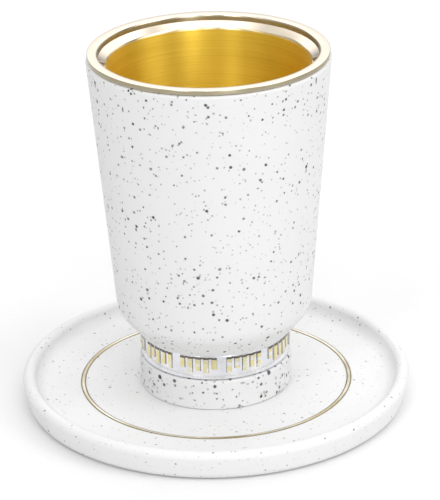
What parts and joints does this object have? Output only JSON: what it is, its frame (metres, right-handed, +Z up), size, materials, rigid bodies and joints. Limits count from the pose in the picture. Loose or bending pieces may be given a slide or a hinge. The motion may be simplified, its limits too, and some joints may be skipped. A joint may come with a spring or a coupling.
{
  "type": "kiddush cup",
  "caption": "Tapered white speckled resin cup with a gilt metal liner and a silver neck band, on a matching round saucer with an inlaid ring; holds wine for a blessing.",
  "frame": {"origin": "centre of the saucer's underside, on the surface that the part stands on", "axes": "+Z up along the common axis of cup and saucer, -Y towards the viewer, +X to the viewer's right"},
  "size_m": [0.133, 0.133, 0.125],
  "materials": {
    "saucer_resin": "cast resin, fine matt white with sparse grey specks",
    "ring_metal": "polished champagne-gold metal ring, inlaid",
    "cup_resin": "cast resin, fine matt white with many dark and grey specks",
    "liner_gilt": "gold anodised, brushed round inside, with a polished pale rim",
    "band_silver": "polished silver plate with gilt raised strokes"
  },
  "bodies": {
    "root": {"saucer": "saucer_resin", "saucer_ring": "ring_metal", "cup_body": "cup_resin", "liner": "liner_gilt", "name_band": "band_silver"}
  },
  "joints": []
}
